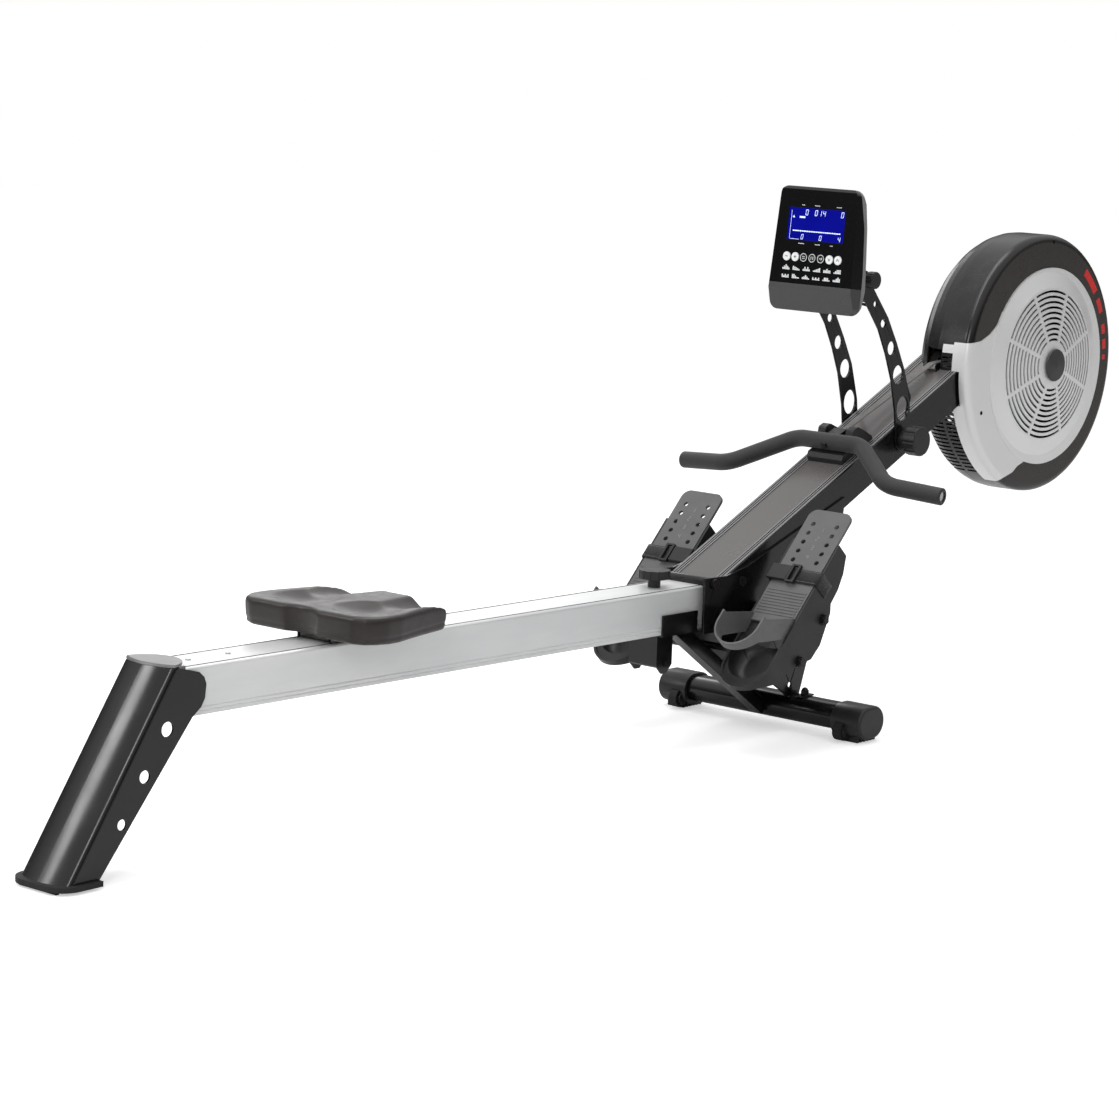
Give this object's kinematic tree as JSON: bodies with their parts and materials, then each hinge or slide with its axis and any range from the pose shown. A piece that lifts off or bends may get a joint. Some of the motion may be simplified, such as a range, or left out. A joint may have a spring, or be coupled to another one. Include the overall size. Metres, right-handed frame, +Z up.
{
  "type": "rowing machine",
  "caption": "Folding air and magnet rowing machine: slide rail with sliding seat, inclined beam, strap handle, foot rests, wheel housing and a tilting display on arms.",
  "frame": {"origin": "the middle of the front stabiliser, on the floor", "axes": "+X from the seat towards the wheel housing, +Y to the rower's left, +Z up"},
  "size_m": [2.5683, 0.5662, 0.9213],
  "materials": {
    "rail_aluminium": "satin",
    "leg_paint": "gloss black paint",
    "black_paint": "satin black paint",
    "beam_paint": "satin black with a grey flat strip",
    "dark_plastic": "fine grained",
    "grey_plastic": "moulded grey",
    "housing_plastic": "glossy dark grey",
    "silver_plastic": "silver",
    "seat_pad": "moulded black",
    "black_rubber": "ribbed",
    "grip_foam": "dense foam",
    "steel": "plated",
    "nylon": "nylon",
    "cast_wheel": "cast",
    "webbing": "woven webbing",
    "pull_webbing": "woven strap",
    "display_glass": "blue back-lit display",
    "key_white": "white key",
    "key_dark": "black key with a printed ring"
  },
  "bodies": {
    "frame": {"beam": "beam_paint", "frame_side_plates": "black_paint", "rail_saddle": "black_paint", "front_post": "black_paint", "stabiliser_tube": "black_paint", "stabiliser_caps": "dark_plastic", "frame_fasteners": "steel", "foot_shafts": "steel", "foot_base_right": "dark_plastic", "foot_base_left": "dark_plastic", "foot_straps": "webbing", "strap_buckles": "dark_plastic", "fold_bolt": "steel", "housing_shell_right": "housing_plastic", "housing_shell_left": "housing_plastic", "grille_panel_right": "silver_plastic", "grille_panel_left": "silver_plastic", "hub_caps": "dark_plastic", "spindle_fork": "black_paint", "wheel_spindle": "steel", "handle_rest": "dark_plastic", "console_cable": "black_rubber"},
    "rail": {"rail": "rail_aluminium", "rail_hinge_block": "black_paint", "rear_leg": "leg_paint", "rear_leg_cap": "grey_plastic", "rear_foot_pad": "black_rubber", "rear_leg_bolts": "steel", "rail_stops": "black_rubber"},
    "lock_knob": {"lock_knob": "dark_plastic"},
    "seat": {"seat_pad": "seat_pad", "seat_carriage": "black_paint"},
    "seat_roller_front": {"seat_roller_front": "nylon"},
    "seat_roller_rear": {"seat_roller_rear": "nylon"},
    "seat_roller_keeper": {"seat_roller_keeper": "nylon"},
    "air_wheel": {"air_wheel": "cast_wheel"},
    "strap_reel": {"strap_reel": "nylon"},
    "guide_roller": {"guide_roller": "nylon"},
    "magnet_carrier": {"magnet_carrier": "steel"},
    "handle": {"handle_bar": "black_paint", "handle_foam": "grip_foam", "handle_fittings": "steel", "pull_strap": "pull_webbing"},
    "console_arms": {"console_arms": "black_paint"},
    "arm_knob": {"arm_knob": "dark_plastic"},
    "console": {"console_front": "housing_plastic", "console_back": "grey_plastic", "console_display": "display_glass"},
    "tilt_knob": {"tilt_knob": "dark_plastic"},
    "foot_slider_right": {"foot_slider_right": "grey_plastic"},
    "foot_slider_left": {"foot_slider_left": "grey_plastic"},
    "transport_wheel_right": {"transport_wheel_right": "black_rubber"},
    "transport_wheel_left": {"transport_wheel_left": "black_rubber"},
    "console_button_1": {"console_button_1": "key_white"},
    "console_button_2": {"console_button_2": "key_white"},
    "console_button_3": {"console_button_3": "key_dark"},
    "console_button_4": {"console_button_4": "key_dark"},
    "console_button_5": {"console_button_5": "key_dark"},
    "console_button_6": {"console_button_6": "key_white"},
    "console_button_7": {"console_button_7": "key_white"}
  },
  "joints": [
    {"name": "rail_fold", "type": "hinge", "parent": "frame", "child": "rail", "pos_m": [-0.237, 0, 0.278], "axis": [0, 1, 0], "range_deg": [0, 85]},
    {"name": "lock_pull", "type": "slide", "parent": "rail", "child": "lock_knob", "axis": [0.0133, 0, 0.9999], "range_m": [0, 0.02], "stiffness_N_per_m": 400, "springref_m": -0.01},
    {"name": "seat_slide", "type": "slide", "parent": "rail", "child": "seat", "axis": [0.9999, 0, -0.0133], "range_m": [-0.22, 0.565]},
    {"name": "seat_roller_front_turn", "type": "hinge", "parent": "seat", "child": "seat_roller_front", "pos_m": [-0.97874, 0, 0.22713], "axis": [0, 1, 0], "range_deg": [-1150, 3025]},
    {"name": "seat_roller_rear_turn", "type": "hinge", "parent": "seat", "child": "seat_roller_rear", "pos_m": [-1.09473, 0, 0.22867], "axis": [0, 1, 0], "range_deg": [-1150, 3025]},
    {"name": "seat_roller_keeper_turn", "type": "hinge", "parent": "seat", "child": "seat_roller_keeper", "pos_m": [-1.03615, 0, 0.2723], "axis": [0, 1, 0], "range_deg": [-4090, 1560]},
    {"name": "air_wheel_turn", "type": "hinge", "parent": "frame", "child": "air_wheel", "pos_m": [0.681, 0, 0.587], "axis": [0, 1, 0], "continuous": true},
    {"name": "reel_turn", "type": "hinge", "parent": "frame", "child": "strap_reel", "pos_m": [0.681, 0, 0.587], "axis": [0, 1, 0], "range_deg": [-2210, 5]},
    {"name": "guide_turn", "type": "hinge", "parent": "frame", "child": "guide_roller", "pos_m": [0.44134, 0, 0.59015], "axis": [0, 1, 0], "range_deg": [-11470, 5]},
    {"name": "magnet_swing", "type": "hinge", "parent": "frame", "child": "magnet_carrier", "pos_m": [0.715, -0.033, 0.419], "axis": [0, 1, 0], "range_deg": [-8, 2.5]},
    {"name": "handle_pull", "type": "slide", "parent": "frame", "child": "handle", "axis": [-1, 0, 0], "range_m": [0, 1.2], "stiffness_N_per_m": 15, "springref_m": -1.5, "deforming": ["pull_strap"]},
    {"name": "console_arm_fold", "type": "hinge", "parent": "frame", "child": "console_arms", "pos_m": [0.281, 0, 0.478], "axis": [0, 1, 0], "range_deg": [-10, 35], "deforming": ["console_cable"]},
    {"name": "arm_knob_turn", "type": "hinge", "parent": "frame", "child": "arm_knob", "pos_m": [0.281, 0, 0.478], "axis": [0, 1, 0], "range_deg": [0, 720]},
    {"name": "console_tilt", "type": "hinge", "parent": "console_arms", "child": "console", "pos_m": [0.148, 0, 0.766], "axis": [0, 1, 0], "range_deg": [-20, 25]},
    {"name": "tilt_knob_turn", "type": "hinge", "parent": "console_arms", "child": "tilt_knob", "pos_m": [0.148, 0, 0.766], "axis": [0, 1, 0], "range_deg": [0, 720]},
    {"name": "button_1_press", "type": "slide", "parent": "console", "child": "console_button_1", "axis": [0.9936, 0, -0.1132], "range_m": [0, 0.0015], "stiffness_N_per_m": 300, "springref_m": -0.001},
    {"name": "button_2_press", "type": "slide", "parent": "console", "child": "console_button_2", "axis": [0.9936, 0, -0.1132], "range_m": [0, 0.0015], "stiffness_N_per_m": 300, "springref_m": -0.001},
    {"name": "button_3_press", "type": "slide", "parent": "console", "child": "console_button_3", "axis": [0.9936, 0, -0.1132], "range_m": [0, 0.0015], "stiffness_N_per_m": 300, "springref_m": -0.001},
    {"name": "button_4_press", "type": "slide", "parent": "console", "child": "console_button_4", "axis": [0.9936, 0, -0.1132], "range_m": [0, 0.0015], "stiffness_N_per_m": 300, "springref_m": -0.001},
    {"name": "button_5_press", "type": "slide", "parent": "console", "child": "console_button_5", "axis": [0.9936, 0, -0.1132], "range_m": [0, 0.0015], "stiffness_N_per_m": 300, "springref_m": -0.001},
    {"name": "button_6_press", "type": "slide", "parent": "console", "child": "console_button_6", "axis": [0.9936, 0, -0.1132], "range_m": [0, 0.0015], "stiffness_N_per_m": 300, "springref_m": -0.001},
    {"name": "button_7_press", "type": "slide", "parent": "console", "child": "console_button_7", "axis": [0.9936, 0, -0.1132], "range_m": [0, 0.0015], "stiffness_N_per_m": 300, "springref_m": -0.001},
    {"name": "foot_slide_right", "type": "slide", "parent": "frame", "child": "foot_slider_right", "axis": [0.6921, 0, 0.7218], "range_m": [-0.019, 0.057]},
    {"name": "foot_slide_left", "type": "slide", "parent": "frame", "child": "foot_slider_left", "axis": [0.6921, 0, 0.7218], "range_m": [-0.019, 0.057]},
    {"name": "transport_turn_right", "type": "hinge", "parent": "frame", "child": "transport_wheel_right", "pos_m": [-0.029, -0.1795, 0.0185], "axis": [0, 1, 0], "continuous": true},
    {"name": "transport_turn_left", "type": "hinge", "parent": "frame", "child": "transport_wheel_left", "pos_m": [-0.029, 0.1795, 0.0185], "axis": [0, 1, 0], "continuous": true}
  ],
  "couplings": [
    {"joint": "seat_roller_front_turn", "follows": "seat_slide", "rad_per_m": 88.496},
    {"joint": "seat_roller_rear_turn", "follows": "seat_slide", "rad_per_m": 88.496},
    {"joint": "seat_roller_keeper_turn", "follows": "seat_slide", "rad_per_m": -120.48},
    {"joint": "reel_turn", "follows": "handle_pull", "rad_per_m": -31.746},
    {"joint": "guide_turn", "follows": "handle_pull", "rad_per_m": -166.67}
  ]
}
